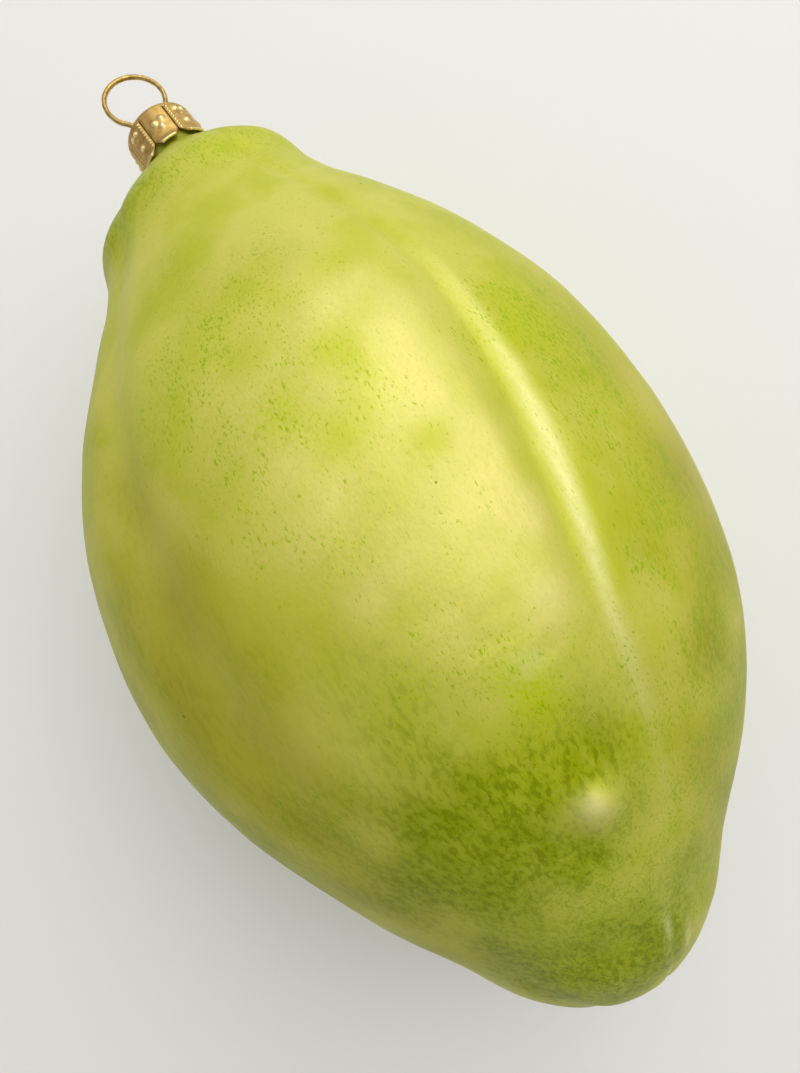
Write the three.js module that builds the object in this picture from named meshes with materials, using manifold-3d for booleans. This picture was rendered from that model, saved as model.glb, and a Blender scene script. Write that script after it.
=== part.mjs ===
// A glass tree ornament in the shape of a papaya: a hollow blown body with four shallow grooves, a stamped
// gold crown cap on its neck, and a ring of spring wire to hang it by. It lies on its side, on a small
// flat spot. Millimetres, Z up, X from the neck to the tip. The origin is under the middle of the whole
// ornament, on the surface that it lies on.

import * as THREE from 'three';
import { mergeVertices } from 'three/addons/utils/BufferGeometryUtils.js';
import Module from 'manifold-3d';

const wasm = await Module();
wasm.setup();

const degrees = THREE.MathUtils.degToRad;

// Glass body. Each station gives the distance from the neck's root, the girth's radius, and how deep the
// grooves are there.
const STATIONS = [
  [0, 4.2, 0],
  [1.2, 5.9, 0.1],
  [3.0, 8.9, 0.3],
  [6.2, 13.3, 0.5],
  [11, 15.7, 0.6],
  [15, 18.2, 0.6],
  [18, 20.5, 0.6],
  [21.5, 22.9, 0.7],
  [29.5, 28.0, 1.1],
  [41.5, 32.8, 1.5],
  [57.5, 35.0, 1.5],
  [73.5, 32.8, 0.7],
  [88.5, 26.1, 0.2],
  [99.5, 18.6, 0.2],
  [106.5, 14.0, 0.4],
  [111.5, 8.5, 0.6],
  [113.4, 4.2, 0.4],
  [113.8, 2.5, 0.2],
  [113.2, 0, 0],
];
const WALL = 1.0;

// Grooves. Each gives its angle from the top halfway along, how far it winds round per millimetre towards
// the tip, its half width (all in degrees) and its share of the depth. The winding stops near both ends.
const GROOVES = [
  [24, -0.27, 4, 0.7],
  [-38.5, 0.05, 7, 0.8],
  [114, 0, 7, 1.0],
  [204, 0, 7, 1.0],
];
const GROOVE_HALFWAY = 50;
const GROOVE_WINDS = 20;

// Flat spot that it rests on, under its widest place, and the size of the block that cuts it.
const FLAT_ALONG = 57.5;
const FLAT_DEPTH = 0.55;
const FLAT_CUTTER = 40;

// The neck's end of the body leans and is pushed to one side, fading out over the first part of its
// length. The snout bows to the other side, round one place.
const BEND_LENGTH = 60;
const BEND_SIDE = -1.7;
const BEND_LEAN = degrees(9.8);
const BOW_SIDE = 1.2;
const BOW_ALONG = 84.5;
const BOW_REACH = 14.5;

// Neck: its root is a little above the middle of the body's end.
const NECK_ROOT = new THREE.Vector3(0.6, -0.05, 2.4);
const NECK_TURN = degrees(7.5);
const NECK_DROP = degrees(6.2);
const NECK_BLEND = 6;
const NECK_RADIUS = 3.8;
const NECK_BORE = 3.1;
const NECK_LENGTH = 4.6;
const NECK_RIM = 0.2;
const NECK_FILLET = [[0.3, 4.0], [0.9, NECK_RADIUS]];

// Crown cap, in distance along the neck from its root.
const CAP_LIP = 0.4;
const CAP_TOP = 5.6;
const CAP_RADIUS = 4.5;
const CAP_EDGE = 0.7;
const CAP_SHEET = 0.35;

// Flare of the petals' lips: distance above the lip's end, and how far the sheet stands out there.
const CAP_FLARE = [[1.1, 0], [0.6, 0.15], [0, 0.5]];

// Petals, parted by slits with a V notch at their open ends.
const PETALS = 8;
const SLIT_ANGLE = degrees(-21);
const SLIT_WIDTH = 0.4;
const SLIT_TOP = 4.8;
const NOTCH_WIDTH = 2.0;
const NOTCH_TOP = 1.4;
const SLIT_CUT_FROM = 1;
const SLIT_CUT_DEPTH = 5;
const DOT_RADIUS = 0.3;

// Raised dots of a petal, as distance along the neck and distance from the petal's middle line.
const PLAIN_DOTS = [[3.1, -0.45], [3.1, 0.45], [2.3, 0]];
const BEADED_DOTS = [[4.2, -0.45], [4.2, 0.45], [2.1, 0]];

// Hanging ring and its two legs, in the plane of the wire: distance from the neck's axis, and distance
// along the neck from its root.
const WIRE = 0.64;
const RING_RADIUS = 3.75;
const RING_CENTRE = 11.05;
const RING_OPEN = degrees(140);
const RING_ANGLE = degrees(-77.5);
const LEG_ACROSS = 1.5;
const LEG_POINTS = [
  [LEG_ACROSS, CAP_TOP],
  [LEG_ACROSS, 2.4],
  [LEG_ACROSS + 0.1, -0.5],
  [2.4, -3.4],
  [3.9, -6.2],
];
const HOLE_RADIUS = 0.7;
const HOLE_CUT = 2;

// Fineness of the faceted surfaces.
const BODY_SIDES = 72;
const OUTER_STEPS = 2;
const CAP_SIDES = 48;
const CAP_EDGE_STEPS = 4;
const DOT_SIDES = 6;
const DOT_STEPS = 4;
const HOLE_SIDES = 16;
const WIRE_SIDES = 10;
const WIRE_STEPS = 64;
const RING_STEPS = 14;
const SAME_POINT = 1e-4;

const GLASS = new THREE.MeshStandardMaterial({ color: 0xd6d66a, roughness: 0.32, metalness: 0.35 });
const CAP_GOLD = new THREE.MeshStandardMaterial({ color: 0xb8964f, roughness: 0.35, metalness: 1.0 });
const WIRE_GOLD = new THREE.MeshStandardMaterial({ color: 0xa88a45, roughness: 0.3, metalness: 1.0 });

// The library's solid of a closed geometry, and the geometry of such a solid.
function solid(geometry) {
  const plain = geometry.index ? geometry.clone() : geometry;
  plain.deleteAttribute('normal');
  plain.deleteAttribute('uv');
  const merged = mergeVertices(plain, SAME_POINT);
  const vertProperties = new Float32Array(merged.attributes.position.array);
  const triVerts = new Uint32Array(merged.index.array);
  return new wasm.Manifold(new wasm.Mesh({ numProp: 3, vertProperties, triVerts }));
}

function fromSolid(manifold) {
  const mesh = manifold.getMesh();
  const geometry = new THREE.BufferGeometry();
  geometry.setAttribute('position', new THREE.BufferAttribute(new Float32Array(mesh.vertProperties), 3));
  geometry.setIndex(Array.from(mesh.triVerts));
  return geometry;
}

// Unit vectors across and up a section whose axis is turned about Z and dropped towards the neck.
function sectionFrame(turn, drop) {
  const level = Math.cos(drop);
  const out = new THREE.Vector3(-Math.cos(turn) * level, -Math.sin(turn) * level, -Math.sin(drop));
  const side = new THREE.Vector3(-Math.sin(turn), Math.cos(turn), 0);
  const up = new THREE.Vector3().crossVectors(side, out);
  return { out, side, up };
}

const neck = sectionFrame(NECK_TURN, NECK_DROP);

// A point by its distance along the neck, its distance from the neck's axis, and its angle from the top.
function neckPoint(along, radius, angle) {
  return NECK_ROOT.clone()
    .addScaledVector(neck.out, along)
    .addScaledVector(neck.side, radius * Math.sin(angle))
    .addScaledVector(neck.up, radius * Math.cos(angle));
}

// Ring of points round the neck.
function neckRing(along, radius) {
  return (angle) => neckPoint(along, radius, angle);
}

const profile = new THREE.CatmullRomCurve3(STATIONS.map((station) => new THREE.Vector3(...station)), false);

// Depth of the grooves at one place of the skin, from 0 on the lobes to a groove's share in its bottom.
function groove(along, angle) {
  const winding = THREE.MathUtils.clamp(along - GROOVE_HALFWAY, -GROOVE_WINDS, GROOVE_WINDS);
  let depth = 0;
  for (const [middle, winds, halfWidth, share] of GROOVES) {
    const bottom = degrees(middle + winds * winding);
    const away = THREE.MathUtils.euclideanModulo(angle - bottom + Math.PI, 2 * Math.PI) - Math.PI;
    depth += share * Math.exp(-((away / degrees(halfWidth)) ** 2));
  }
  return depth;
}

// Ring of points round the body at one place of the profile, set in from the outer skin by a distance.
function bodyRing(place, inset) {
  const here = profile.getPoint(place);
  const tangent = profile.getTangent(place);
  const length = Math.hypot(tangent.x, tangent.y);
  const along = here.x + (inset * tangent.y) / length;
  const radius = here.y - (inset * tangent.x) / length;
  const bend = Math.max(0, 1 - here.x / BEND_LENGTH) ** 2;
  const blend = Math.max(0, 1 - here.x / NECK_BLEND) ** 2;
  const turn = THREE.MathUtils.lerp(BEND_LEAN * bend, NECK_TURN, blend);
  const { side, up } = sectionFrame(turn, NECK_DROP * blend);
  const bow = Math.exp(-(((here.x - BOW_ALONG) / BOW_REACH) ** 2));
  const centre = new THREE.Vector3(along, BEND_SIDE * bend + BOW_SIDE * bow, 0);
  const atNeck = NECK_ROOT.clone().addScaledVector(neck.out, -along);
  centre.lerp(atNeck, blend);
  return (angle) => {
    const reach = Math.max(0, radius - here.z * groove(here.x, angle));
    return centre.clone()
      .addScaledVector(side, reach * Math.sin(angle))
      .addScaledVector(up, reach * Math.cos(angle));
  };
}

// Closed skin through a row of rings, with one point at each end.
function ringedGeometry(first, rings, last, around) {
  const points = [first];
  for (const ring of rings) {
    for (let i = 0; i < around; i++) points.push(ring((2 * Math.PI * i) / around));
  }
  points.push(last);
  const at = (row, i) => 1 + row * around + (i % around);
  const faces = [];
  for (let i = 0; i < around; i++) {
    faces.push(0, at(0, i + 1), at(0, i));
    for (let row = 0; row + 1 < rings.length; row++) {
      faces.push(at(row, i), at(row, i + 1), at(row + 1, i + 1));
      faces.push(at(row, i), at(row + 1, i + 1), at(row + 1, i));
    }
    faces.push(at(rings.length - 1, i), at(rings.length - 1, i + 1), points.length - 1);
  }
  const geometry = new THREE.BufferGeometry().setFromPoints(points);
  geometry.setIndex(faces);
  return geometry;
}

// The glass: its outer skin from the tip to the neck's rim, then its inner skin back to the tip.
function glassGeometry() {
  const segments = STATIONS.length - 1;
  const outerSteps = OUTER_STEPS * segments;
  const rings = [];
  for (let i = outerSteps - 1; i >= 0; i--) rings.push(bodyRing(i / outerSteps, 0));
  for (const [along, radius] of NECK_FILLET) rings.push(neckRing(along, radius));
  rings.push(neckRing(NECK_LENGTH - NECK_RIM, NECK_RADIUS));
  rings.push(neckRing(NECK_LENGTH, NECK_RADIUS - NECK_RIM));
  rings.push(neckRing(NECK_LENGTH, NECK_BORE + NECK_RIM));
  rings.push(neckRing(NECK_LENGTH - NECK_RIM, NECK_BORE));
  rings.push(neckRing(-WALL / 2, NECK_BORE));
  for (let i = 0; i < segments; i++) rings.push(bodyRing(i / segments, WALL));
  const outerTip = bodyRing(1, 0)(0);
  const innerTip = bodyRing(1, WALL)(0);
  const geometry = ringedGeometry(outerTip, rings, innerTip, BODY_SIDES);

  // The small flat spot that it rests on is cut off the lowest part of the skin.
  geometry.computeBoundingBox();
  const block = new THREE.BoxGeometry(FLAT_CUTTER, FLAT_CUTTER, FLAT_CUTTER);
  block.translate(FLAT_ALONG, 0, geometry.boundingBox.min.z + FLAT_DEPTH - FLAT_CUTTER / 2);
  return fromSolid(solid(geometry).subtract(solid(block)));
}

// Matrix that stands a shape made round Z on the neck, with the shape's X at the top and its Y to the side.
function onNeck() {
  const matrix = new THREE.Matrix4().makeBasis(neck.up, neck.side, neck.out);
  return matrix.setPosition(NECK_ROOT);
}

// Thin shell of the cap, turned round Z: flared lips, a straight side, a rounded top edge and a flat top.
function capShell() {
  const inner = CAP_RADIUS - CAP_SHEET;
  const outline = [new THREE.Vector2(0, CAP_TOP)];
  for (let i = 0; i <= CAP_EDGE_STEPS; i++) {
    const angle = (Math.PI / 2) * (1 - i / CAP_EDGE_STEPS);
    outline.push(new THREE.Vector2(
      CAP_RADIUS - CAP_EDGE + CAP_EDGE * Math.cos(angle),
      CAP_TOP - CAP_EDGE + CAP_EDGE * Math.sin(angle),
    ));
  }
  for (const [above, out] of CAP_FLARE) outline.push(new THREE.Vector2(CAP_RADIUS + out, CAP_LIP + above));
  for (const [above, out] of CAP_FLARE.toReversed()) {
    outline.push(new THREE.Vector2(inner + out, CAP_LIP + above));
  }
  outline.push(new THREE.Vector2(inner, CAP_TOP - CAP_EDGE));
  outline.push(new THREE.Vector2(inner - CAP_SHEET, CAP_TOP - CAP_SHEET));
  outline.push(new THREE.Vector2(0, CAP_TOP - CAP_SHEET));
  const geometry = new THREE.LatheGeometry(outline.reverse(), CAP_SIDES);
  geometry.rotateX(Math.PI / 2);
  return solid(geometry);
}

// Cutter for one slit, with the V notch at its open end. It stands out from Z towards X.
function slitCutter() {
  const outline = new THREE.Shape([
    new THREE.Vector2(-SLIT_WIDTH / 2, SLIT_TOP),
    new THREE.Vector2(-SLIT_WIDTH / 2, NOTCH_TOP),
    new THREE.Vector2(-NOTCH_WIDTH / 2, 0),
    new THREE.Vector2(NOTCH_WIDTH / 2, 0),
    new THREE.Vector2(SLIT_WIDTH / 2, NOTCH_TOP),
    new THREE.Vector2(SLIT_WIDTH / 2, SLIT_TOP),
  ]);
  const geometry = new THREE.ExtrudeGeometry(outline, { depth: SLIT_CUT_DEPTH, bevelEnabled: false });
  const outward = new THREE.Vector3(1, 0, 0);
  const across = new THREE.Vector3(0, 1, 0);
  const along = new THREE.Vector3(0, 0, 1);
  geometry.applyMatrix4(new THREE.Matrix4().makeBasis(across, along, outward));
  return geometry.translate(SLIT_CUT_FROM, 0, 0);
}

// The cap stands on Z here, with angles from X towards Y, and is then set on the neck.
function capGeometry() {
  let cap = capShell();
  const pitch = (2 * Math.PI) / PETALS;
  for (let petal = 0; petal < PETALS; petal++) {
    const slit = SLIT_ANGLE + petal * pitch;
    cap = cap.subtract(solid(slitCutter().rotateZ(slit)));
    for (const [along, across] of petal % 2 ? BEADED_DOTS : PLAIN_DOTS) {
      const angle = slit + pitch / 2 + across / CAP_RADIUS;
      const dot = new THREE.SphereGeometry(DOT_RADIUS, DOT_SIDES, DOT_STEPS);
      dot.translate(CAP_RADIUS, 0, along).rotateZ(angle);
      cap = cap.add(solid(dot));
    }
  }
  for (const side of [-1, 1]) {
    const hole = new THREE.CylinderGeometry(HOLE_RADIUS, HOLE_RADIUS, HOLE_CUT, HOLE_SIDES);
    hole.rotateX(Math.PI / 2).translate(side * LEG_ACROSS, 0, CAP_TOP).rotateZ(RING_ANGLE);
    cap = cap.subtract(solid(hole));
  }
  return fromSolid(cap).applyMatrix4(onNeck());
}

// The wire's middle line: one leg, the ring and the other leg.
function hangerPath() {
  const inPlane = (across, along) => neckPoint(along, across, RING_ANGLE);
  const legIn = LEG_POINTS.map(([across, along]) => inPlane(-across, along)).reverse();
  const legOut = LEG_POINTS.map(([across, along]) => inPlane(across, along));
  const ring = [];
  for (let i = 0; i <= RING_STEPS; i++) {
    const angle = RING_OPEN * ((2 * i) / RING_STEPS - 1);
    ring.push(inPlane(RING_RADIUS * Math.sin(angle), RING_CENTRE + RING_RADIUS * Math.cos(angle)));
  }
  return new THREE.CatmullRomCurve3([...legIn, ...ring, ...legOut], false);
}

function hangerGeometry() {
  const section = new THREE.Shape();
  section.absarc(0, 0, WIRE / 2, 0, 2 * Math.PI);
  return new THREE.ExtrudeGeometry(section, {
    extrudePath: hangerPath(),
    steps: WIRE_STEPS,
    curveSegments: WIRE_SIDES / 2,
    bevelEnabled: false,
  });
}

function piece(name, geometry, material) {
  const mesh = new THREE.Mesh(geometry, material);
  mesh.name = name;
  return mesh;
}

const ornament = new THREE.Group();
ornament.add(piece('glass_body', glassGeometry(), GLASS));
ornament.add(piece('cap', capGeometry(), CAP_GOLD));
ornament.add(piece('hanger', hangerGeometry(), WIRE_GOLD));

// The origin is under the middle of the ornament's box.
const box = new THREE.Box3().setFromObject(ornament);
const middle = box.getCenter(new THREE.Vector3());
ornament.position.set(-middle.x, -middle.y, -box.min.z);

export default ornament;
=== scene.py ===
"""A papaya-shaped blown glass tree ornament with a gold crown cap and wire ring, on a pale surface."""

import bmesh
import bpy
import numpy as np
from mathutils import Matrix, Vector


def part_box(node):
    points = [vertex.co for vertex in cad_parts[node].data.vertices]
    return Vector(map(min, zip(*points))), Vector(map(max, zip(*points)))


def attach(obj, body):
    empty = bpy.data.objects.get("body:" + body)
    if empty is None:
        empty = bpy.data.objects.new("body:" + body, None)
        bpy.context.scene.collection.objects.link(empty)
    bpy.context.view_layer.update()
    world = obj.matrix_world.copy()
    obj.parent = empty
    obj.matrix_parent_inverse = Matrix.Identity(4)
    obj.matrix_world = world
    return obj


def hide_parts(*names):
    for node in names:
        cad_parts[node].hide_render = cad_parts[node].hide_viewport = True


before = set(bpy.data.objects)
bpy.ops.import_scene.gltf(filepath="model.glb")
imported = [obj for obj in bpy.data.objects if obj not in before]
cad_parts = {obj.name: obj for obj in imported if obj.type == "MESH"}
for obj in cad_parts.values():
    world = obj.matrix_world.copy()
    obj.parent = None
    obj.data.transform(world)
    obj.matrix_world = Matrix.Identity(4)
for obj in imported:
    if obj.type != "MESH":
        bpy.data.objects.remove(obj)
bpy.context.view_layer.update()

MM = 0.001

# Camera: the photograph's height and focal length in pixels, the sensor's height (mm) and where the camera
# stood (mm). The picture's level direction is turned from +X, and the camera's back leans towards the neck.
PHOTO_HEIGHT = 1073
FOCAL_LENGTH = 775
SENSOR = 36
CAMERA_PLACE = (8.74, -1.53, 130.6)
CAMERA_TURN = np.radians(60.85)
CAMERA_LEAN = np.radians(3.0)

# Glass body, as in the solid: distance from the neck's root, girth's radius and grooves' depth (mm).
STATIONS = np.array([
    (0, 4.2, 0),
    (1.2, 5.9, 0.1),
    (3.0, 8.9, 0.3),
    (6.2, 13.3, 0.5),
    (11, 15.7, 0.6),
    (15, 18.2, 0.6),
    (18, 20.5, 0.6),
    (21.5, 22.9, 0.7),
    (29.5, 28.0, 1.1),
    (41.5, 32.8, 1.5),
    (57.5, 35.0, 1.5),
    (73.5, 32.8, 0.7),
    (88.5, 26.1, 0.2),
    (99.5, 18.6, 0.2),
    (106.5, 14.0, 0.4),
    (111.5, 8.5, 0.6),
    (113.4, 4.2, 0.4),
    (113.8, 2.5, 0.2),
    (113.2, 0, 0),
])
TIP = 113.8
AXIS_SIDE = -0.04
AXIS_HEIGHT = 34.45
WALL = 1.0

# Grooves: angle from the top halfway along, winding per mm towards the tip, half width (all in degrees) and
# share of the depth. The winding stops near both ends. The first is the main groove, which is a little
# narrower than in the solid, as the photograph's highlight on its flank asks.
GROOVES = [
    (24.6, -0.27, 3, 0.55),
    (-38.5, 0.05, 7, 0.8),
    (114, 0, 7, 1.0),
    (204, 0, 7, 1.0),
]
GROOVE_HALFWAY = 50
GROOVE_WINDS = 20

# Lean of the body's middle line at the neck, and its bow at the snout (mm).
BEND_LENGTH = 60
BEND_SIDE = -1.7
BEND_LEAN = np.radians(9.8)
BOW_SIDE = 1.2
BOW_ALONG = 84.5
BOW_REACH = 14.5

# Neck of the glass (mm).
NECK_ROOT = np.array([0.6, -0.05, 2.4])
NECK_TURN = np.radians(7.5)
NECK_DROP = np.radians(6.2)
NECK_BLEND = 6
NECK_RADIUS = 3.8
NECK_BORE = 3.1
NECK_LENGTH = 4.6
NECK_RIM = 0.2
NECK_FILLET = [(0.3, 4.0), (0.6, 3.86), (0.9, NECK_RADIUS)]

# Fineness of the glass: points around, rows of its outer and inner skin, and steps in which the outline's
# length is measured.
AROUND = 288
OUTER_ROWS = 290
INNER_ROWS = 30
OUTLINE_STEPS = 4001

# Dents and bumps of the glass: the hollow and the small bump near the snout, two low ridges at the tip,
# the shoulder's swellings beside the neck, and slight unevenness between them. Each has a distance along, an
# angle from the top (degrees), a reach along, a reach around and a height (mm).
DENTS_AND_BUMPS = [
    (77.8, 10, 3.4, 4.2, -0.8),
    (83.9, 5.4, 2.0, 2.0, 1.3),
    (104.0, 13, 3.5, 1.0, 0.2),
    (105.5, 21, 3.5, 1.0, 0.25),
    (4.0, -70, 4.0, 7.0, 0.7),
    (4.5, 75, 4.5, 12.0, 0.8),
    (3.2, 0, 3.0, 9.0, 0.8),
    (81.0, 1, 3.5, 3.0, 0.16),
    (61.5, -10, 2.4, 2.8, 0.07),
    (64.8, -8, 2.4, 2.8, 0.09),
    (68.0, -4, 2.4, 3.0, 0.10),
    (69.0, 2, 2.4, 3.0, 0.10),
    (68.0, 8, 2.6, 2.6, 0.10),
    (64.0, 12, 3.0, 2.0, 0.07),
    (101.0, -6, 3.0, 3.2, -0.25),
    (93.8, 11, 4.0, 4.0, 0.12),
    (90.5, -7, 4.0, 4.0, 0.10),
]

# Places where the glass is finely lumpy, given in the same way, and the lumps' length, count and seed.
LUMPY_PLACES = [
    (66.0, -6, 5.0, 8.0, 0.022),
    (69.0, 7, 3.0, 3.0, 0.035),
    (45.0, -14, 16.0, 9.0, 0.012),
    (109.0, 20, 5.0, 6.0, 0.03),
]
LUMPS = (2.6, 14, 3)

# Unevenness of the whole skin: height, then the waves' length (mm), count and seed.
UNEVENNESS = [(0.05, 17, 10, 5), (0.010, 6, 12, 8)]

# Radius (mm) at which the relief has its full height. It fades out at a third of it.
FULL_RELIEF_RADIUS = 13.5

# Crown cap, in distance along the neck from its root (mm).
CAP_LIP = 0.2
CAP_TOP = 5.6
CAP_RADIUS = 4.5
CAP_LIP_RADIUS = 5.1
CAP_FLARE = 1.1
CAP_FLARE_POWER = 2.2
CAP_EDGE = 0.7
CAP_SHEET = 0.28
PETALS = 8
SLIT_ANGLE = np.radians(-21)
SLIT_WIDTH = 0.10
SLIT_TOP = 4.8
NOTCH_WIDTH = 1.8
NOTCH_TOP = 1.0

# A petal's borders curl down over the last share of its half width, by a drop (mm).
CURL_SHARE = 0.16
CURL_DROP = 0.08

# Fineness of the cap: columns of a petal, and rows of its top, edge, side and flared lip.
PETAL_COLUMNS = 48
TOP_ROWS = 12
EDGE_ROWS = 8
SIDE_ROWS = 49
FLARE_ROWS = 8

# Stamped dots of a petal: distance along the neck and from the petal's middle line, radius and height.
PLAIN_DOTS = [
    (3.2, 0.65, 0.42, 0.3),
    (3.0, -0.4, 0.42, 0.3),
    (2.25, 0.25, 0.42, 0.3),
]
BEADED_DOTS = [
    (4.1, -0.4, 0.38, 0.28),
    (4.1, 0.45, 0.38, 0.28),
    (3.4, 0.15, 0.22, 0.12),
    (2.2, 0.1, 0.4, 0.3),
]
BEAD_ACROSS = 1.38
BEAD_PITCH = 0.42
BEAD_RADIUS = 0.17
BEAD_HEIGHT = 0.16
BEAD_START = 1.2
BEADS = 9

# How much steeper than a plain bell the sides of a dot and of a bead are.
DOT_STEEPNESS = 1.25
BEAD_STEEPNESS = 1.2

# The stamping ends below the rounded edge of the top, over a distance. A painted highlight lightens the gold
# where the relief is higher than a low mark, fully from a high one, and along the lip (mm).
STAMP_END = 0.4
STAMP_FADE = 0.6
GLINT_LOW = 0.036
GLINT_HIGH = 0.156
GLINT_LIP = 0.45
GLINT_LIP_FADE = 0.25
GLINT_LIP_SHARE = 0.9

# Wire ring and legs, in the plane of the wire (mm).
WIRE = 0.62
RING_RADIUS = 3.75
RING_CENTRE = 11.05
RING_OPEN = np.radians(140)
RING_ANGLE = np.radians(-77.5)
LEG_POINTS = [(1.5, 5.6), (1.5, 2.4), (1.6, -0.5), (2.4, -3.4), (3.9, -6.2)]
RING_STEPS = 14
WIRE_STEPS = 420
WIRE_SIDES = 20
WIRE_END_SHARE = 0.55

# Distance within which points are joined when a mesh is sewn up (mm).
SEWING_REACH = 0.002


def colour(red, green, blue):
    """Linear colour of a screen colour with parts from 0 to 255."""
    parts = np.array([red, green, blue]) / 255
    linear = np.where(parts <= 0.04045, parts / 12.92, ((parts + 0.055) / 1.055) ** 2.4)
    return (*linear.tolist(), 1.0)


def catmull_rom(points, share):
    """Point at each share, from 0 to 1, of a smooth curve through a row of points.

    Each stretch between two points is the cubic with their own tangents, where a tangent blends the two
    chords that meet there, weighted by the square roots of their lengths.
    """
    ends = np.vstack([2 * points[0] - points[1], points, 2 * points[-1] - points[-2]])
    place = np.clip(share, 0, 1) * (len(points) - 1)
    first = np.minimum(place.astype(int), len(points) - 2)
    part = (place - first)[:, None]
    before, start, stop, after = (ends[first + k] for k in range(4))
    span = [np.sqrt(np.linalg.norm(b - a, axis=1))[:, None]
            for a, b in ((before, start), (start, stop), (stop, after))]
    leave = (start - before) / span[0] - (stop - before) / (span[0] + span[1]) + (stop - start) / span[1]
    arrive = (stop - start) / span[1] - (after - start) / (span[1] + span[2]) + (after - stop) / span[2]
    leave = leave * span[1]
    arrive = arrive * span[1]
    square = -3 * start + 3 * stop - 2 * leave - arrive
    cube = 2 * start - 2 * stop + leave + arrive
    return start + part * leave + part ** 2 * square + part ** 3 * cube


def section_frame(turn, drop):
    """Unit vectors out of the neck, across and up a section, for arrays of turns about Z and drops."""
    turn, drop = np.broadcast_arrays(turn, drop)
    out = np.stack([-np.cos(turn) * np.cos(drop), -np.sin(turn) * np.cos(drop), -np.sin(drop)], -1)
    side = np.stack([-np.sin(turn), np.cos(turn), np.zeros_like(turn)], -1)
    return out, side, np.cross(side, out)


NECK_OUT, NECK_SIDE, NECK_UP = section_frame(NECK_TURN, NECK_DROP)


def to_frame(points):
    """Metres in the part's frame, for points in mm from the neck's root along the body's middle line."""
    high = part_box("glass_body")[1]
    shift = np.array([high.x / MM - TIP, AXIS_SIDE, AXIS_HEIGHT])
    return (points + shift) * MM


def on_neck(along, radius, angle):
    """Points at a distance along the neck and from its axis, at an angle from the top."""
    measures = np.broadcast_arrays(along, radius, angle)
    along, radius, angle = (np.asarray(values, float)[..., None] for values in measures)
    across = radius * (np.sin(angle) * NECK_SIDE + np.cos(angle) * NECK_UP)
    return NECK_ROOT + along * NECK_OUT + across


def bell(distance):
    """Smooth hill of height 1 at 0 that has faded out by 2.5."""
    return np.exp(-distance ** 2)


def spots(places, along, angle, radius):
    """Sum of round hills on the skin, each height times a bell of the distance over its reaches."""
    total = np.zeros(np.broadcast_shapes(along.shape, angle.shape))
    for centre, degrees, reach, spread, height in places:
        turn = (angle - np.radians(degrees) + np.pi) % (2 * np.pi) - np.pi
        total += height * bell(np.hypot((along - centre) / reach, turn * radius / spread))
    return total


def waves(points, length, count, seed):
    """Random smooth field of about unit size: a sum of sine waves of one length in seeded directions."""
    draw = np.random.default_rng(seed)
    way = draw.normal(size=(count, 3))
    way *= 2 * np.pi / length / np.linalg.norm(way, axis=1, keepdims=True)
    way *= draw.uniform(0.7, 1.4, (count, 1))
    phase = draw.uniform(0, 2 * np.pi, count)
    total = np.zeros(points.shape[:-1])
    for step, start in zip(way, phase):
        total += np.sin(points @ step + start)
    return total * np.sqrt(2 / count)


def groove(along, angle):
    """Depth of the grooves: a sum of bells across them, each 1 or its share in the bottom of its groove."""
    winding = np.clip(along - GROOVE_HALFWAY, -GROOVE_WINDS, GROOVE_WINDS)
    depth = np.zeros(np.broadcast_shapes(along.shape, angle.shape))
    for middle, winds, half_width, share in GROOVES:
        away = (np.degrees(angle) - middle - winds * winding + 180) % 360 - 180
        depth += share * bell(away / half_width)
    return depth


def profile(count, inset):
    """Rows of distance along, radius and groove depth at even steps of the outline, less an inset."""
    shares = np.linspace(0, 1, OUTLINE_STEPS)
    fine = catmull_rom(STATIONS, shares)
    travel = np.concatenate([[0], np.cumsum(np.hypot(*np.diff(fine[:, :2], axis=0).T))])
    rows = catmull_rom(STATIONS, np.interp(np.linspace(0, travel[-1], count), travel, shares))
    tangent = np.gradient(rows[:, :2], axis=0)
    tangent /= np.linalg.norm(tangent, axis=1, keepdims=True)
    rows[:, 0] += inset * tangent[:, 1]
    rows[:, 1] -= inset * tangent[:, 0]
    return rows


def skin(rows, angle, relief):
    """Grid of points of the body's skin, one row for each row of the profile.

    A section is a circle less the grooves, plus the relief, and stands across the body's middle line.
    Towards the neck the middle line bends aside, its sections lean, and the last ones blend into the neck's
    own. At the snout it bows to the other side.
    """
    along, radius, depth = rows.T
    bend = np.clip(1 - along / BEND_LENGTH, 0, None) ** 2
    blend = np.clip(1 - along / NECK_BLEND, 0, 1) ** 2
    turn = BEND_LEAN * bend * (1 - blend) + NECK_TURN * blend
    _, side, up = section_frame(turn, NECK_DROP * blend)
    bow = bell((along - BOW_ALONG) / BOW_REACH)
    centre = np.stack([along, BEND_SIDE * bend + BOW_SIDE * bow, 0 * along], -1)
    at_neck = NECK_ROOT - along[:, None] * NECK_OUT
    centre = centre + (at_neck - centre) * blend[:, None]
    depth = depth[:, None] * groove(along[:, None], angle)
    reach = np.clip(radius[:, None] - depth + relief, 0, None)[..., None]
    across = side[:, None] * np.sin(angle)[:, None] + up[:, None] * np.cos(angle)[:, None]
    return centre[:, None] + reach * across


def mould_relief(rows, angle):
    """Height of the skin's dents, bumps and lumps, fading out at the neck's root and at the tip."""
    along, radius, _ = rows.T
    plain = skin(rows, angle, 0)
    along, radius = along[:, None], radius[:, None]
    relief = spots(DENTS_AND_BUMPS, along, angle, radius)
    relief += spots(LUMPY_PLACES, along, angle, radius) * waves(plain, *LUMPS)
    for height, *kind in UNEVENNESS:
        relief += height * waves(plain, *kind)
    gone = FULL_RELIEF_RADIUS / 3
    return relief * np.clip((radius - gone) / (FULL_RELIEF_RADIUS - gone), 0, 1)


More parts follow.
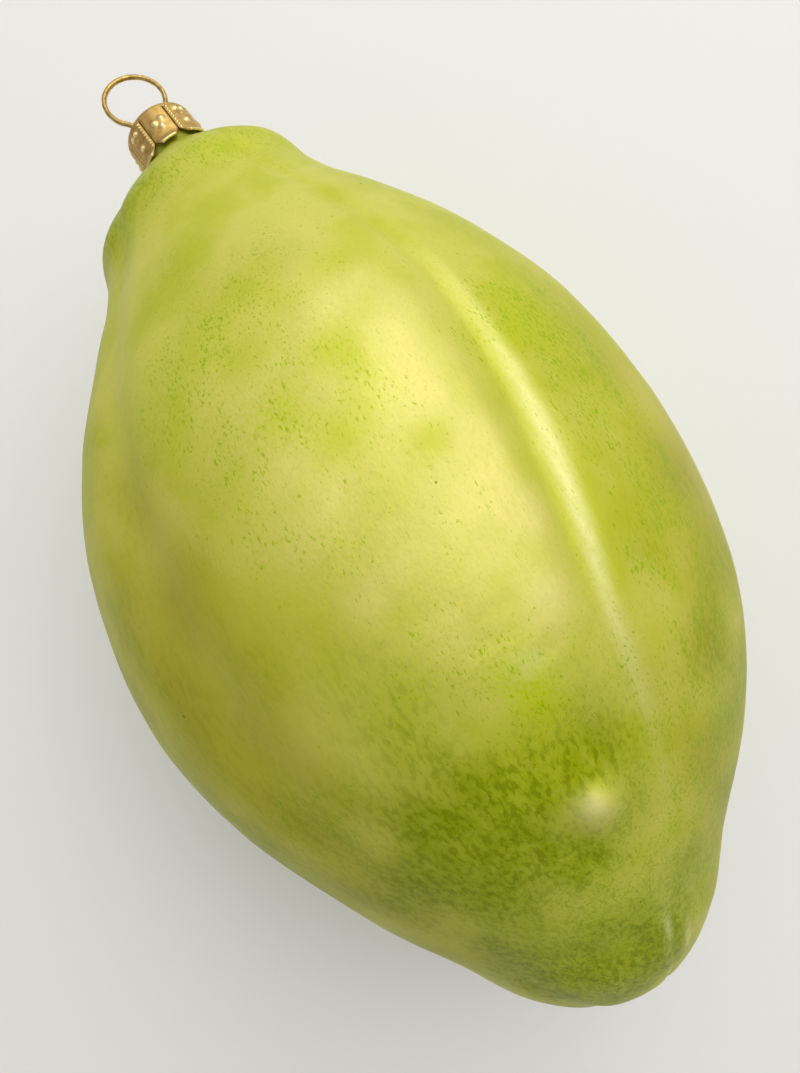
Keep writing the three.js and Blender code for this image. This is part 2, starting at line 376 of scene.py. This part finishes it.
def grid_faces(rows, columns, closed):
    """Quads between the neighbours of a grid of points. A closed grid's last column joins its first."""
    wide = columns if closed else columns - 1
    row, column = np.meshgrid(np.arange(rows - 1), np.arange(wide), indexing="ij")
    beside = (column + 1) % columns
    corners = [row * columns + column, row * columns + beside]
    corners += [(row + 1) * columns + beside, (row + 1) * columns + column]
    return np.stack(corners, -1).reshape(-1, 4)


def fan(centre, first, second):
    """Triangles from one point to each pair of neighbours of a ring."""
    return np.stack([np.full_like(first, centre), first, second], -1).tolist()


def add_piece(name, points, faces, material, replaced):
    """Smooth mesh object of points in metres, riding on the ornament in place of its plain solid."""
    mesh = bpy.data.meshes.new(name)
    mesh.from_pydata(points.tolist(), [], faces)
    mesh.polygons.foreach_set("use_smooth", np.ones(len(mesh.polygons), bool))
    mesh.materials.append(material)
    piece = bpy.data.objects.new(name, mesh)
    bpy.context.scene.collection.objects.link(piece)
    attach(piece, "root")
    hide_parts(replaced)
    return piece


def store(piece, name, values):
    """Keeps a number from 0 to 1 at each point of a piece, for its material."""
    attribute = piece.data.attributes.new(name, "FLOAT", "POINT")
    attribute.data.foreach_set("value", np.clip(values, 0, 1).ravel().astype(np.float32))


def sew_up(piece):
    """Joins points that lie together, and turns all faces outward."""
    mesh = bmesh.new()
    mesh.from_mesh(piece.data)
    bmesh.ops.remove_doubles(mesh, verts=mesh.verts, dist=SEWING_REACH * MM)
    bmesh.ops.recalc_face_normals(mesh, faces=mesh.faces)
    mesh.to_mesh(piece.data)
    mesh.free()


def glass_body(material):
    """Blown glass in one closed surface, made of rings of points.

    They follow the outer skin from the tip to the neck, then, as circles, the neck and its rim, and then the
    inner skin back to the tip. A fan of triangles closes each skin at its tip. Underneath, what would be
    below the floor is level with it.
    """
    angle = np.arange(AROUND) * 2 * np.pi / AROUND
    outer = profile(OUTER_ROWS, 0)[::-1]
    outer_skin = skin(outer, angle, mould_relief(outer, angle))
    neck = NECK_FILLET + [
        (NECK_LENGTH - NECK_RIM, NECK_RADIUS),
        (NECK_LENGTH, NECK_RADIUS - NECK_RIM),
        (NECK_LENGTH, NECK_BORE + NECK_RIM),
        (NECK_LENGTH - NECK_RIM, NECK_BORE),
        (-WALL / 2, NECK_BORE),
    ]
    neck_skin = np.array([on_neck(along, radius, angle) for along, radius in neck])
    inner = profile(INNER_ROWS, WALL)
    inner_skin = skin(inner[:-1], angle, 0)
    rings = np.concatenate([outer_skin[1:], neck_skin, inner_skin])
    outer_tip = outer_skin[:1, 0]
    inner_tip = skin(inner[-1:], angle, 0)[0, :1]
    points = np.concatenate([outer_tip, rings.reshape(-1, 3), inner_tip])
    around = np.arange(AROUND)
    beside = (around + 1) % AROUND
    last = 1 + (len(rings) - 1) * AROUND
    faces = fan(0, 1 + beside, 1 + around)
    faces += (grid_faces(len(rings), AROUND, True) + 1).tolist()
    faces += fan(len(points) - 1, last + around, last + beside)
    placed = to_frame(points)
    placed[:, 2] = np.maximum(placed[:, 2], 0)
    piece = add_piece("blown_glass", placed, faces, material, "glass_body")
    paint(piece, points)


# Patches of each layer of the lacquer: distance along, angle, reach along, reach around and strength. A
# strength below zero takes the layer away.
# Mostly the lacquer's own green, but the patch in the hollow near the snout and the large patch beside it
# are partly painted shade.
GREEN_PATCHES = [
    (80, -9, 8, 10, 0.85),
    (79, -11, 5, 6, 0.4),
    (86, -1, 5, 8, 0.6),
    (79.4, 10, 3, 4, 0.6),
    (83.4, 6.5, 2.6, 2.6, -0.8),
    (70.5, 5, 3, 3, -0.3),
    (104, -5, 5, 9, 1.0),
    (104, -17, 5, 5, 0.4),
    (99, 3, 4, 5, 0.5),
    (94, -26, 12, 7, 0.7),
    (70, -38, 22, 9, 0.2),
    (66, -14, 5, 4, 0.35),
    (6, -46, 6, 7, 0.7),
    (3, 10, 4, 8, 0.25),
    (43, 45, 10, 6, 0.12),
    (64, 48, 16, 9, 0.15),
    (80, 48, 14, 10, 0.3),
    (98, 40, 10, 10, 0.35),
    (72, -62, 24, 10, 0.35),
    (60, 150, 30, 20, 0.5),
    (25, -140, 14, 14, 0.5),
    (95, 170, 14, 14, 0.8),
]
FLECK_PATCHES = [
    (86, -5, 15, 16, 0.75),
    (34, -18, 10, 9, 0.5),
    (30, 2, 9, 9, 0.3),
    (44, 40, 9, 7, 0.8),
    (62, 42, 16, 9, 0.8),
    (84, 46, 14, 14, 0.7),
    (74, -38, 5, 5, 1.0),
    (104, 0, 9, 14, 0.9),
    (6, -30, 6, 12, 0.6),
    (8, 25, 6, 8, 0.5),
    (70, 4, 5, 6, 0.4),
    (70.5, 5, 3, 3, -0.3),
    (83.4, 6.5, 3, 3, -0.8),
    (50, -8, 14, 10, 0.35),
    (65, -70, 30, 10, 0.6),
    (60, 80, 30, 10, 0.6),
    (40, 160, 18, 16, 0.8),
    (85, -150, 16, 14, 0.8),
]
LIME_PATCHES = [
    (34, -15, 8, 8, 0.5),
    (40, 7, 5, 4, 0.2),
    (43, -3, 6, 5, 0.3),
    (51, 0, 7, 6, 0.25),
    (54, -14, 9, 6, 0.35),
    (66, -10, 7, 6, 0.4),
    (70.5, 5, 2.6, 2.8, 1.0),
    (74, 7, 4, 5, 0.5),
    (82, -2, 7, 8, 0.4),
    (96, 0, 8, 9, 0.4),
    (104, -13, 5, 5, 0.35),
    (80, 53, 10, 6, 0.35),
    (44, 38, 8, 6, 0.35),
    (61, 37, 9, 6, 0.3),
    (5, -30, 6, 14, 0.35),
    (60, 150, 25, 20, 0.6),
    (35, -120, 16, 16, 0.6),
    (80, -110, 14, 14, 0.5),
]
# Painted shade in a brownish olive: it darkens the flanks that turn from the light, most on the lower left
# and along the right lobe's edge.
OCHRE_SHADE_PATCHES = [
    (64, -42, 28, 11, 0.8),
    (92, -36, 12, 8, 0.5),
    (40, -95, 30, 14, 0.5),
    (72, 52, 28, 11, 0.85),
    (86, 30, 6, 6, 0.3),
    (58, -12, 9, 7, 0.3),
]
# Partly the lacquer's own cream tone and partly painted highlight: the halo round the bump, and the band
# along the main groove's other flank.
BUTTER_AND_HIGHLIGHT_PATCHES = [
    (83.4, 6.6, 2.4, 2.4, 1.2),
    (46, -6, 12, 9, 0.8),
    (60, -2, 10, 8, 0.5),
    (30, 5, 10, 10, 0.3),
    (48, 13, 15, 4, 0.9),
    (62, 15, 6, 3, 0.6),
    (55, 120, 16, 14, 0.6),
    (50, -120, 18, 16, 0.6),
]

# Clouds in the layers: the length (mm), count and seed of their waves. They break up a layer's patches by a
# share, and vary what a layer has everywhere.
CLOUDS = (9, 12, 21)
GREEN_CLOUDS = (14, 10, 22)
BUTTER_AND_HIGHLIGHT_CLOUDS = (7, 12, 23)
GREEN_BREAKS = 0.25
LIME_BREAKS = 0.3
OCHRE_SHADE_BREAKS = 0.2
BUTTER_AND_HIGHLIGHT_BREAKS = 0.3
GREEN_VARIES = 0.06
FLECKS_EVERYWHERE = 0.12
FLECKS_VARY = 0.08

# Painted highlight streak on the far flank of the main groove: degrees beside its bottom, half width
# (degrees), and the middle and reach along (mm).
FLANK_ASIDE = 2.7
FLANK_HALF_WIDTH = 1.2
FLANK_MIDDLE = 58
FLANK_REACH = 17

# Small painted highlights on the bump, the tip's ridges and the facets near the snout, as the patches are
# given.
HIGHLIGHT_SPOTS = [
    (83.4, 6.6, 1.1, 1.1, 0.6),
    (102.3, 17, 1.8, 0.45, 0.7),
    (106.0, 27, 1.8, 0.45, 0.7),
    (69.5, 7, 1.3, 1.6, 0.4),
]


def paint(piece, points):
    """Stores at each point how much there is of each lacquer layer, of painted shade and of painted
    highlight.

    Each is a sum of soft patches, broken up by clouds. The pale layer is painted highlight: a streak along
    one flank of the main groove, which fades out at both ends, and a few small spots.
    """
    along = points[:, 0]
    angle = np.arctan2(points[:, 1], points[:, 2])
    radius = np.hypot(points[:, 1], points[:, 2])
    place = (along, angle, radius)
    middle, winds, _, _ = GROOVES[0]
    winding = np.clip(along - GROOVE_HALFWAY, -GROOVE_WINDS, GROOVE_WINDS)
    beside = np.degrees(angle) - middle - winds * winding - FLANK_ASIDE
    streak = bell(beside / FLANK_HALF_WIDTH) * bell((along - FLANK_MIDDLE) / FLANK_REACH)
    cloud = waves(points, *CLOUDS)
    green_cloud = waves(points, *GREEN_CLOUDS)
    butter_and_highlight_cloud = waves(points, *BUTTER_AND_HIGHLIGHT_CLOUDS)
    green = spots(GREEN_PATCHES, *place) * (1 + GREEN_BREAKS * cloud)
    flecks = spots(FLECK_PATCHES, *place) + FLECKS_EVERYWHERE
    # The pale layer is painted highlight.
    store(piece, "pale", streak + spots(HIGHLIGHT_SPOTS, *place))
    store(piece, "green", green + GREEN_VARIES * green_cloud)
    store(piece, "flecks", flecks + FLECKS_VARY * cloud)
    store(piece, "lime", spots(LIME_PATCHES, *place) * (1 + LIME_BREAKS * cloud))
    store(piece, "ochre_shade", spots(OCHRE_SHADE_PATCHES, *place) * (1 + OCHRE_SHADE_BREAKS * cloud))
    store(piece, "butter_and_highlight", spots(BUTTER_AND_HIGHLIGHT_PATCHES, *place) * (1 + BUTTER_AND_HIGHLIGHT_BREAKS * butter_and_highlight_cloud))


def cap_profile():
    """Outline of the crown cap from the middle of its top to its lip: rows of radius and distance along.

    The top is flat, its edge a quarter circle and the side straight. The lip flares by a power curve.
    """
    flat = CAP_RADIUS - CAP_EDGE
    top = [(radius, CAP_TOP) for radius in np.linspace(0, flat, TOP_ROWS)]
    turn = np.radians(np.linspace(0, 90, EDGE_ROWS + 1))[1:]
    edge = [(flat + CAP_EDGE * np.sin(t), CAP_TOP - CAP_EDGE * (1 - np.cos(t))) for t in turn]
    drop = np.linspace(CAP_TOP - CAP_EDGE, CAP_LIP + CAP_FLARE, SIDE_ROWS + 1)[1:]
    side = [(CAP_RADIUS, along) for along in drop]
    spread = CAP_LIP_RADIUS - CAP_RADIUS
    flare = np.linspace(0, 1, FLARE_ROWS + 1)[1:]
    lip = [(CAP_RADIUS + spread * t ** CAP_FLARE_POWER, CAP_LIP + CAP_FLARE * (1 - t)) for t in flare]
    return np.array(top + edge + side + lip)


def petal_relief(along, across, beaded):
    """Height of a petal's stamped dots and, on every other petal, of a row of beads beside each slit.

    A dot or a bead is a bell of the distance from its middle, over its radius.
    """
    relief = np.zeros(np.broadcast_shapes(along.shape, across.shape))
    for place, offset, radius, height in BEADED_DOTS if beaded else PLAIN_DOTS:
        away = np.hypot(along - place, across - offset)
        relief += height * bell(DOT_STEEPNESS * away / radius)
    if beaded:
        for bead in range(BEADS):
            place = BEAD_START + bead * BEAD_PITCH
            away = np.hypot(along - place, np.abs(across) - BEAD_ACROSS)
            relief += BEAD_HEIGHT * bell(BEAD_STEEPNESS * away / BEAD_RADIUS)
    return relief


def crown_cap(material):
    """Stamped sheet of eight petals, each a grid of points.

    Rows follow the outline, turned about the neck, and columns spread evenly over the angle from one slit
    to the next. The stamping's relief is added to the radius, and the petal's borders curl down. Where the
    cap has no slit the neighbours share their border, so that sewing up leaves one sheet.
    """
    outline = cap_profile()
    radius, along = outline[:, :1], outline[:, 1:]
    pitch = 2 * np.pi / PETALS
    notch = np.clip((CAP_LIP + NOTCH_TOP - along) / NOTCH_TOP, 0, 1)
    widening = (NOTCH_WIDTH - SLIT_WIDTH) / 2 * notch
    opening = np.where(along < SLIT_TOP, SLIT_WIDTH / 2 + widening, 0)
    half = pitch / 2 - opening / np.maximum(radius, CAP_RADIUS - CAP_EDGE)
    spread = np.linspace(-1, 1, PETAL_COLUMNS + 1)
    turn = spread * half
    stamped = np.clip((CAP_TOP - STAMP_END - along) / STAMP_FADE, 0, 1)
    curl = CURL_DROP * np.clip((np.abs(spread) - 1 + CURL_SHARE) / CURL_SHARE, 0, 1) ** 2
    # Painted highlight: a share of bright gold along the lip, and on the dots and beads where they stand
    # high.
    glint_lip = GLINT_LIP_SHARE * np.clip((CAP_LIP + GLINT_LIP - along) / GLINT_LIP_FADE, 0, 1)
    grids = []
    glint = []
    for petal in range(PETALS):
        relief = petal_relief(along, turn * CAP_RADIUS, petal % 2 == 1) * stamped
        glint_relief = np.clip((relief - GLINT_LOW) / (GLINT_HIGH - GLINT_LOW), 0, 1)
        glint.append(glint_relief + glint_lip)
        angle = SLIT_ANGLE + (petal + 0.5) * pitch + turn
        grids.append(on_neck(along, radius + relief - curl * stamped, angle))
    points = to_frame(np.stack(grids).reshape(-1, 3))
    one = grid_faces(len(outline), PETAL_COLUMNS + 1, False)[:, ::-1]
    starts = np.arange(PETALS) * len(outline) * (PETAL_COLUMNS + 1)
    faces = (one + starts[:, None, None]).reshape(-1, 4)
    piece = add_piece("crown_cap", points, faces.tolist(), material, "cap")
    # The painted highlight's share is kept under the name raised.
    store(piece, "raised", np.stack(glint))
    sew_up(piece)
    sheet = piece.modifiers.new("sheet", "SOLIDIFY")
    sheet.thickness = CAP_SHEET * MM
    sheet.offset = -1


def wire_path():
    """Middle line of the wire: a smooth curve through the points of one leg, the ring and the other leg."""
    legs = np.array(LEG_POINTS)
    turn = np.linspace(-RING_OPEN, RING_OPEN, RING_STEPS + 1)
    ring = np.stack([RING_RADIUS * np.sin(turn), RING_CENTRE + RING_RADIUS * np.cos(turn)], -1)
    flat = np.concatenate([legs[::-1] * (-1, 1), ring, legs])
    points = on_neck(flat[:, 1], flat[:, 0], RING_ANGLE)
    return catmull_rom(points, np.linspace(0, 1, WIRE_STEPS))


def hanging_ring(material):
    """Round wire: circles carried along the middle line.

    One direction of each circle is the normal of the ring's plane, and the other is square to it and to the
    line. The first and the last circle are smaller, and a fan of triangles closes each.
    """
    path = wire_path()
    along = np.gradient(path, axis=0)
    along /= np.linalg.norm(along, axis=1, keepdims=True)
    normal = np.cross(on_neck(0, 1, RING_ANGLE) - NECK_ROOT, NECK_OUT)
    other = np.cross(along, normal)
    swell = np.ones(WIRE_STEPS)
    swell[[0, -1]] = WIRE_END_SHARE
    angle = np.arange(WIRE_SIDES) * 2 * np.pi / WIRE_SIDES
    circle = normal * np.cos(angle)[:, None] + other[:, None] * np.sin(angle)[:, None]
    rings = path[:, None] + WIRE / 2 * swell[:, None, None] * circle
    points = to_frame(np.concatenate([rings.reshape(-1, 3), path[:1], path[-1:]]))
    around = np.arange(WIRE_SIDES)
    beside = (around + 1) % WIRE_SIDES
    last = (WIRE_STEPS - 1) * WIRE_SIDES
    faces = grid_faces(WIRE_STEPS, WIRE_SIDES, True).tolist()
    faces += fan(len(points) - 2, beside, around)
    faces += fan(len(points) - 1, last + around, last + beside)
    piece = add_piece("wire_ring", points, faces, material, "hanger")
    sew_up(piece)


# Tones as on the screen, from 0 to 255: the lacquer's layers and marks, then the gold and the floor.
TONES = {
    "cream": (208, 206, 90),
    "leaf": (193, 197, 54),
    # Cream tone of the lacquer, also used as painted highlight.
    "butter and highlight": (236, 221, 136),
    # Painted shade on the flanks.
    "ochre_shade": (184, 172, 62),
    "green": (140, 151, 8),
    "lime": (190, 202, 24),
    "dark dab": (104, 121, 0),
    "pale dab": (188, 190, 76),
    "painted highlight": (247, 241, 172),
    "lime fleck": (158, 182, 8),
    "green fleck": (108, 126, 0),
    "grain": (160, 176, 20),
    "speck": (84, 88, 4),
    "lacquer gloss": (195, 190, 80),
    "cap": (206, 170, 98),
    "cap shadow": (182, 144, 76),
    "wire": (206, 172, 100),
    "wire shadow": (166, 132, 66),
    # Painted highlight on the cap's raised dots, beads and lip.
    "glint gold": (255, 236, 168),
    "paper": (239, 237, 232),
}

# Patterns in the lacquer: a noise's scale (per mm), detail, roughness and distortion. Marks run lengthwise,
# as their coordinates are shortened that way.
CLOUD_NOISE = (0.11, 3.0, 0.55)
CLUMP_NOISE = (0.42, 3.0, 0.6, 0.3)
DAB_NOISE = (1.7, 2.0, 0.5, 0.3)
FINE_NOISE = (3.8, 3.0, 0.62, 0.4)
GRAIN_NOISE = (5.0, 2.0, 0.6)
LENGTHWISE = (0.45, 1, 1)

# A fleck shows where the fine noise, raised in clumps, is over a bar that is lower in the flecked places.
FLECK_BAR = 0.705
FLECK_BAR_DROP = 0.17
FLECK_EDGE = 0.045
FLECK_CLUMPING = 0.3


def tone(name):
    """Linear colour of a named tone."""
    return colour(*TONES[name])


class Finish:
    """A material under construction: its node tree, its shader, and short ways to add and join nodes."""

    def __init__(self, name):
        self.material = bpy.data.materials.new(name)
        self.material.use_nodes = True
        self.tree = self.material.node_tree
        self.shader = self.tree.nodes["Principled BSDF"]
        coordinates = self.node("ShaderNodeTexCoord")
        place = coordinates.outputs["Object"]
        in_mm = self.node("ShaderNodeMapping", Vector=place, Scale=(1 / MM, 1 / MM, 1 / MM))
        self.place = in_mm.outputs["Vector"]

    def set(self, node, name, value):
        """Joins a socket to an output, or gives it a plain value."""
        if isinstance(value, bpy.types.NodeSocket):
            self.tree.links.new(value, node.inputs[name])
        else:
            node.inputs[name].default_value = value

    def node(self, kind, settings=None, **inputs):
        """New node with its settings and inputs. An input's name has its spaces written as underscores."""
        made = self.tree.nodes.new(kind)
        for name, value in (settings or {}).items():
            setattr(made, name, value)
        for name, value in inputs.items():
            self.set(made, name.replace("_", " "), value)
        return made

    def shade(self, **inputs):
        """Sets or joins inputs of the shader, named in the same way."""
        for name, value in inputs.items():
            self.set(self.shader, name.replace("_", " "), value)

    def math(self, operation, first, second):
        made = self.node("ShaderNodeMath", {"operation": operation})
        self.set(made, 0, first)
        self.set(made, 1, second)
        return made.outputs[0]

    def times(self, first, second):
        return self.math("MULTIPLY", first, second)

    def stretched(self, scale):
        """Coordinates scaled by three numbers, so that a pattern's marks grow longer one way."""
        return self.node("ShaderNodeMapping", Vector=self.place, Scale=scale).outputs["Vector"]

    def noise(self, place, scale, detail=2.0, roughness=0.5, distortion=0.0):
        shape = {"Scale": scale, "Detail": detail, "Roughness": roughness, "Distortion": distortion}
        return self.node("ShaderNodeTexNoise", Vector=place, **shape).outputs["Fac"]

    def ramp(self, value, low, high):
        """0 at low, 1 at high, smooth between them and level beyond. Low may be the greater of the two."""
        made = self.node("ShaderNodeMapRange", {"interpolation_type": "SMOOTHSTEP"}, Value=value)
        self.set(made, "From Min", low)
        self.set(made, "From Max", high)
        return made.outputs["Result"]

    def range(self, value, low, high):
        """Even change from low, where the value is 0, to high, where it is 1."""
        made = self.node("ShaderNodeMapRange", Value=value)
        made.inputs["To Min"].default_value = low
        made.inputs["To Max"].default_value = high
        return made.outputs["Result"]

    def mix(self, share, below, above):
        """Colour with a share of the one above over the one below."""
        made = self.node("ShaderNodeMix", {"data_type": "RGBA"})
        self.set(made, 0, share)
        self.set(made, 6, below)
        self.set(made, 7, above)
        return made.outputs[2]

    def attribute(self, name):
        """What store() kept at the points under a name, or 0 where it kept nothing."""
        return self.node("ShaderNodeAttribute", {"attribute_name": name}).outputs["Fac"]

    def bump(self, height, distance, strength, under=None):
        made = self.node("ShaderNodeBump", Height=height, Distance=distance, Strength=strength)
        if under:
            self.set(made, "Normal", under)
        return made.outputs["Normal"]


def lacquer():
    """Silvered glass under pearly lacquer.

    The ground is cream to leaf green, in clouds. The layers that paint() stored lie over it: a cream tone
    that is partly painted highlight, painted shade in a brownish olive, green that is partly painted shade,
    and lime, with dark and pale dabs in the green places. Then come the painted highlights on the main
    groove's flank, the bump and the tip, fine flecks that run lengthwise, a still finer grain and a few dark
    specks.
    """
    finish = Finish("lime_lacquer")
    lengthwise = finish.stretched(LENGTHWISE)
    clouds = finish.noise(finish.place, *CLOUD_NOISE)
    clumps = finish.noise(lengthwise, *CLUMP_NOISE)
    dabs = finish.noise(lengthwise, *DAB_NOISE)
    fine = finish.noise(lengthwise, *FINE_NOISE)
    grain = finish.noise(lengthwise, *GRAIN_NOISE)
    green = finish.attribute("green")
    flecks = finish.attribute("flecks")

    base = finish.mix(finish.ramp(clouds, 0.38, 0.62), tone("cream"), tone("leaf"))
    # Partly the lacquer's own cream tone, partly painted highlight.
    butter_and_highlight = finish.times(finish.attribute("butter_and_highlight"), finish.range(dabs, 0.5, 1.0))
    base = finish.mix(butter_and_highlight, base, tone("butter and highlight"))
    # Painted shade on the flanks that turn from the light.
    base = finish.mix(finish.attribute("ochre_shade"), base, tone("ochre_shade"))
    # Green paint, partly painted shade in the hollow near the snout and beside it.
    base = finish.mix(finish.times(green, finish.range(clumps, 0.3, 1.5)), base, tone("green"))
    spray = finish.range(finish.ramp(fine, 0.36, 0.62), 0.45, 1.0)
    base = finish.mix(finish.times(finish.attribute("lime"), spray), base, tone("lime"))
    dark_dabs = finish.times(finish.ramp(dabs, 0.48, 0.62), green)
    base = finish.mix(finish.times(dark_dabs, 0.5), base, tone("dark dab"))
    pale_dabs = finish.times(finish.ramp(dabs, 0.46, 0.34), finish.times(green, flecks))
    base = finish.mix(finish.times(pale_dabs, 0.3), base, tone("pale dab"))

    # Painted highlight: the streak on the main groove's flank and the small spots.
    pale = finish.times(finish.attribute("pale"), finish.range(dabs, 0.6, 1.0))
    base = finish.mix(finish.times(pale, 0.9), base, tone("painted highlight"))

    bar = finish.math("SUBTRACT", FLECK_BAR, finish.times(flecks, FLECK_BAR_DROP))
    raised = finish.times(finish.math("SUBTRACT", clumps, 0.5), FLECK_CLUMPING)
    mark = finish.ramp(finish.math("ADD", fine, raised), bar, finish.math("ADD", bar, FLECK_EDGE))
    fleck = finish.mix(green, tone("lime fleck"), tone("green fleck"))
    base = finish.mix(finish.times(mark, finish.range(green, 0.85, 0.5)), base, fleck)
    base = finish.mix(finish.times(finish.ramp(grain, 0.5, 0.75), 0.22), base, tone("grain"))

    cells = finish.node("ShaderNodeTexVoronoi", Vector=finish.place, Scale=0.14)
    speck = finish.math("SUBTRACT", 1.0, finish.ramp(cells.outputs["Distance"], 0.016, 0.03))
    base = finish.mix(finish.times(speck, 0.75), base, tone("speck"))

    peel = finish.noise(finish.place, 0.75)
    grit = finish.noise(finish.place, 3.2)
    normal = finish.bump(peel, 1.0 * MM, 0.05)
    normal = finish.bump(grit, 0.3 * MM, 0.05, normal)
    finish.shade(
        Base_Color=base,
        Metallic=0.2,
        Roughness=finish.range(finish.noise(finish.place, 0.12, 3.0), 0.34, 0.46),
        Specular_IOR_Level=0.15,
        Specular_Tint=tone("lacquer gloss"),
        Normal=normal,
    )
    return finish.material


def gold(name, bright, shadow, roughness):
    """Antique gold on sheet or wire: browner and duller in patches, with a painted highlight where it is
    raised.
    """
    finish = Finish(name)
    patches = finish.noise(finish.place, 1.3, 3.0)
    grain = finish.noise(finish.place, 9.0)
    worn = finish.mix(finish.ramp(patches, 0.35, 0.7), bright, shadow)
    finish.shade(
        # A painted highlight lightens the raised dots, beads and lip of the cap.
        Base_Color=finish.mix(finish.attribute("raised"), worn, tone("glint gold")),
        Metallic=0.85,
        Roughness=finish.range(patches, roughness - 0.06, roughness + 0.08),
        Normal=finish.bump(grain, 0.05 * MM, 0.15),
    )
    return finish.material


def paper():
    """Pale matt surface."""
    finish = Finish("pale_surface")
    finish.shade(Base_Color=tone("paper"), Roughness=0.85)
    return finish.material


def floor(material):
    """Level square sheet, two metres wide, just under the ornament."""
    level = -0.02 * MM
    corners = [(-1, -1, level), (1, -1, level), (1, 1, level), (-1, 1, level)]
    mesh = bpy.data.meshes.new("surface")
    mesh.from_pydata(corners, [], [(0, 1, 2, 3)])
    mesh.materials.append(material)
    sheet = bpy.data.objects.new("surface", mesh)
    bpy.context.scene.collection.objects.link(sheet)


def camera():
    """Camera above the ornament: its right edge lies level, and its back leans towards the neck."""
    right = Vector((np.cos(CAMERA_TURN), np.sin(CAMERA_TURN), 0))
    down = Vector((np.sin(CAMERA_TURN), -np.cos(CAMERA_TURN), 0))
    ahead = Vector((0, 0, -1))
    sight = ahead * np.cos(CAMERA_LEAN) - down * np.sin(CAMERA_LEAN)
    low_edge = down * np.cos(CAMERA_LEAN) + ahead * np.sin(CAMERA_LEAN)
    data = bpy.data.cameras.new("camera")
    data.sensor_width = SENSOR
    data.lens = FOCAL_LENGTH / PHOTO_HEIGHT * SENSOR
    data.clip_start = 0.005
    eye = bpy.data.objects.new("camera", data)
    turned = Matrix((right, -low_edge, -sight)).transposed().to_4x4()
    eye.matrix_world = Matrix.Translation(Vector(CAMERA_PLACE) * MM) @ turned
    bpy.context.scene.collection.objects.link(eye)
    bpy.context.scene.camera = eye


def soft_light(name, place, size, power, tint):
    """Round soft light at a place in metres, facing the middle of the ornament."""
    data = bpy.data.lights.new(name, "AREA")
    data.shape = "DISK"
    data.size = size
    data.energy = power
    data.color = tint
    lamp = bpy.data.objects.new(name, data)
    middle = Vector((0, 0, 0.03))
    away = Vector(place) - middle
    lamp.matrix_world = Matrix.Translation(place) @ away.to_track_quat("Z", "Y").to_matrix().to_4x4()
    bpy.context.scene.collection.objects.link(lamp)


def studio():
    """Plain soft light: a wide one overhead, a key from one side, a window, and a dim room."""
    soft_light("overhead", (-0.35, 0.12, 0.80), 1.0, 1.9, (0.99, 1.0, 1.0))
    soft_light("key", (-0.13, 0.38, 0.68), 0.9, 3.05, (1.0, 1.0, 0.99))
    soft_light("window", (-0.75, 0.45, 0.50), 0.6, 1.5, (0.97, 0.99, 1.0))
    world = bpy.data.worlds.new("room")
    world.use_nodes = True
    room = world.node_tree.nodes["Background"]
    room.inputs["Color"].default_value = (0.97, 0.98, 1.0, 1)
    room.inputs["Strength"].default_value = 0.38
    bpy.context.scene.world = world
    bpy.context.scene.view_settings.view_transform = "Standard"


camera()
studio()
floor(paper())
glass_body(lacquer())
crown_cap(gold("cap_gold", tone("cap"), tone("cap shadow"), 0.44))
hanging_ring(gold("wire_gold", tone("wire"), tone("wire shadow"), 0.34))
